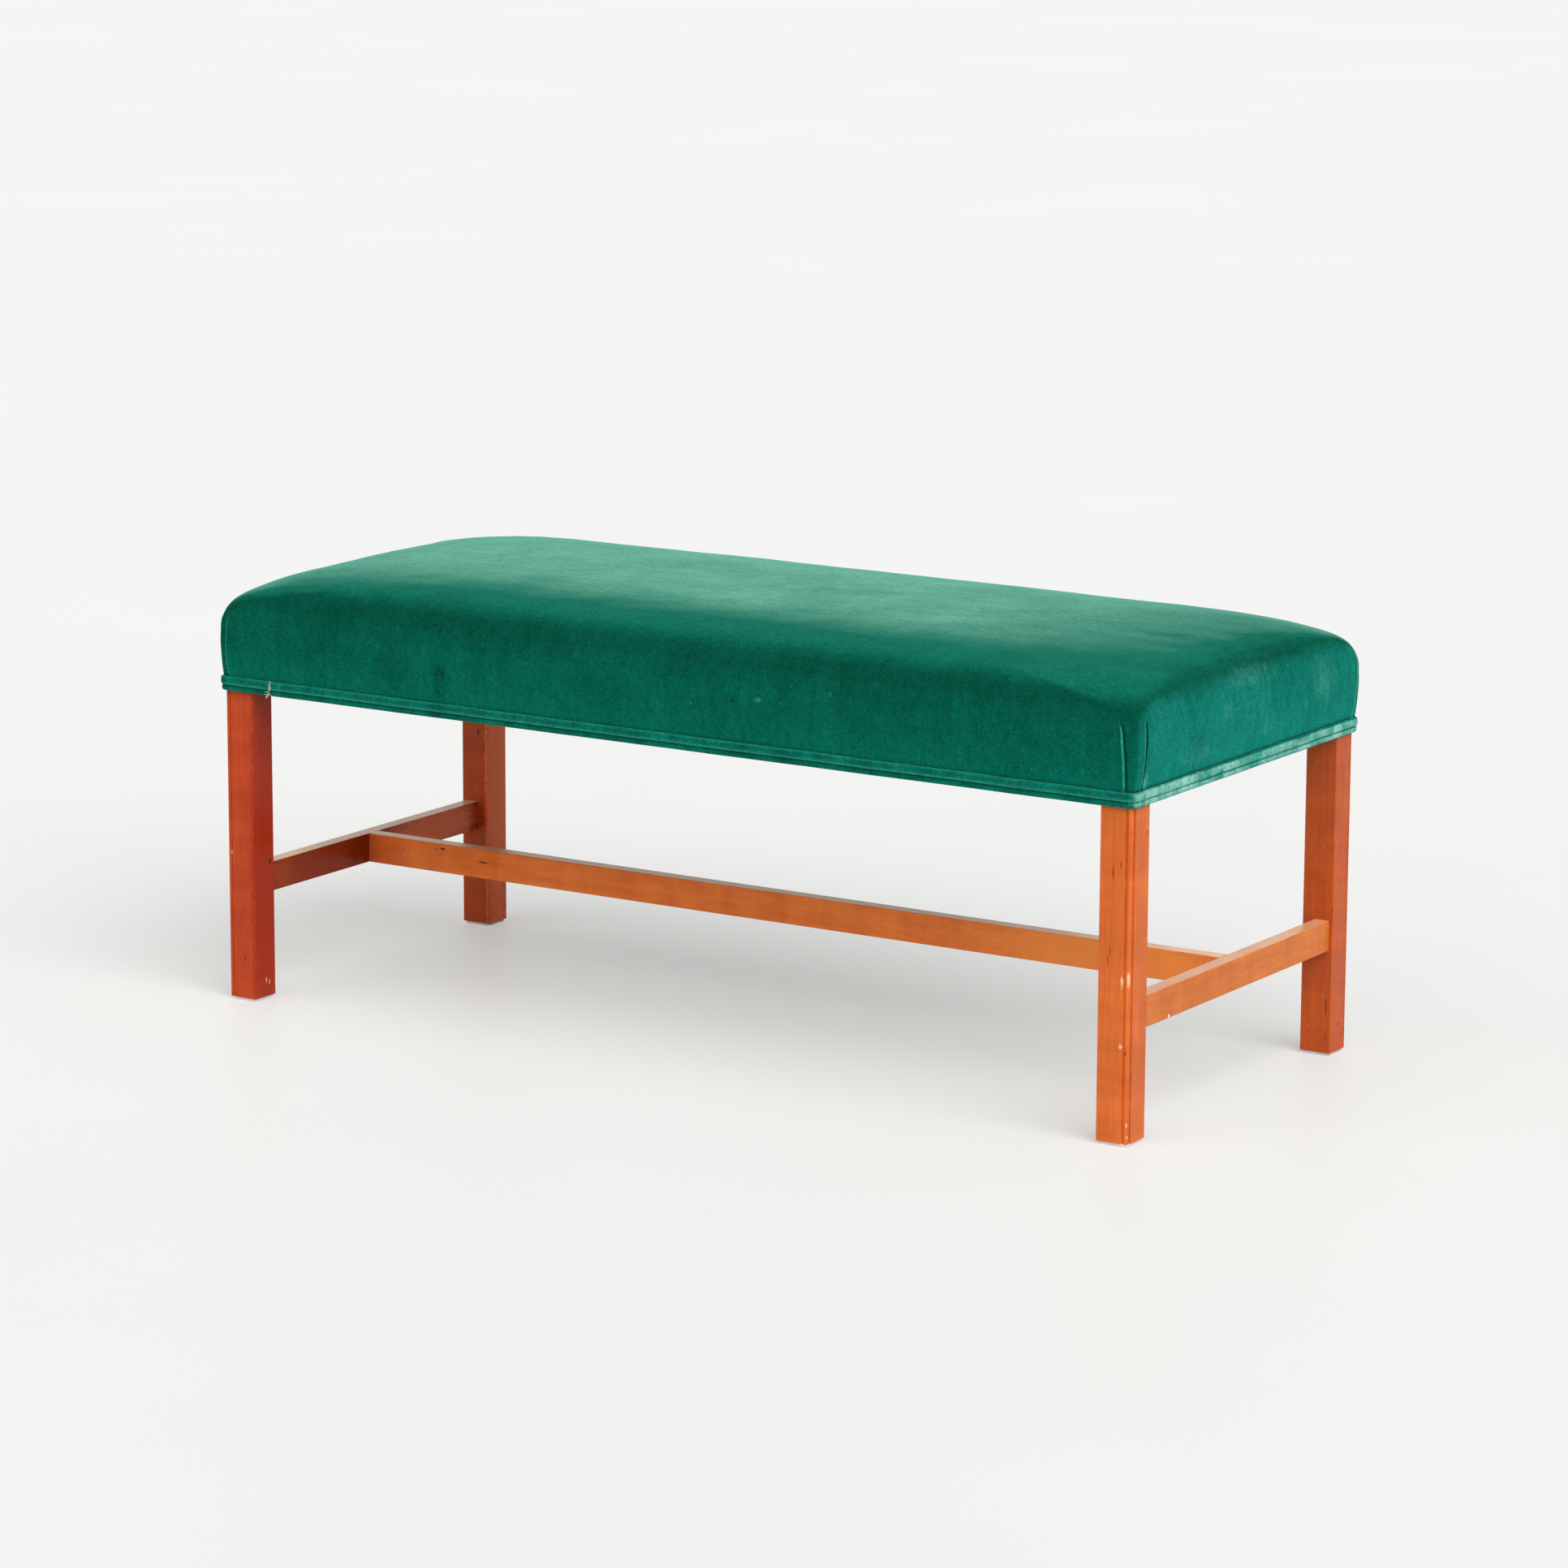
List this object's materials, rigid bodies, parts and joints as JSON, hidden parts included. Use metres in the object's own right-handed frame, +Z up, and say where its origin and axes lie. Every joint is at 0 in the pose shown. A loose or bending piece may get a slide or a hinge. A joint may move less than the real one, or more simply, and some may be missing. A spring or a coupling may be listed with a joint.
{
  "type": "upholstered bench",
  "caption": "Long upholstered bench with a crowned velvet seat and folded velvet band, on square beaded cherry legs joined by a low stretcher frame.",
  "frame": {"origin": "on the floor, under the middle of the seat", "axes": "+X along the bench to its right end, +Y from the front to the back, +Z up"},
  "size_m": [1.1088, 0.4728, 0.464],
  "materials": {
    "cherry": "satin varnish",
    "frame_wood": "planed, unfinished",
    "felt": "matted felt",
    "steel": "zinc plated",
    "webbing": "woven jute",
    "hessian": "coarse weave",
    "foam": "open-cell foam",
    "wadding": "soft fibre",
    "velvet": "cut-pile velvet",
    "dust_cloth": "matte"
  },
  "bodies": {
    "root": {"leg_front_left": "cherry", "leg_front_right": "cherry", "leg_rear_left": "cherry", "leg_rear_right": "cherry", "stretcher_left": "cherry", "stretcher_right": "cherry", "stretcher_long": "cherry", "foot_pad_front_left": "felt", "foot_pad_front_right": "felt", "foot_pad_rear_left": "felt", "foot_pad_rear_right": "felt", "rail_front": "frame_wood", "rail_rear": "frame_wood", "rail_left": "frame_wood", "rail_right": "frame_wood", "cross_brace": "frame_wood", "corner_block_front_left": "frame_wood", "corner_block_front_right": "frame_wood", "corner_block_rear_left": "frame_wood", "corner_block_rear_right": "frame_wood", "corner_block_screws": "steel", "webbing_crosswise": "webbing", "webbing_lengthwise": "webbing", "hessian": "hessian", "foam_pad": "foam", "wadding": "wadding", "velvet_cover": "velvet", "velvet_band": "velvet", "dust_cover": "dust_cloth"}
  },
  "joints": []
}
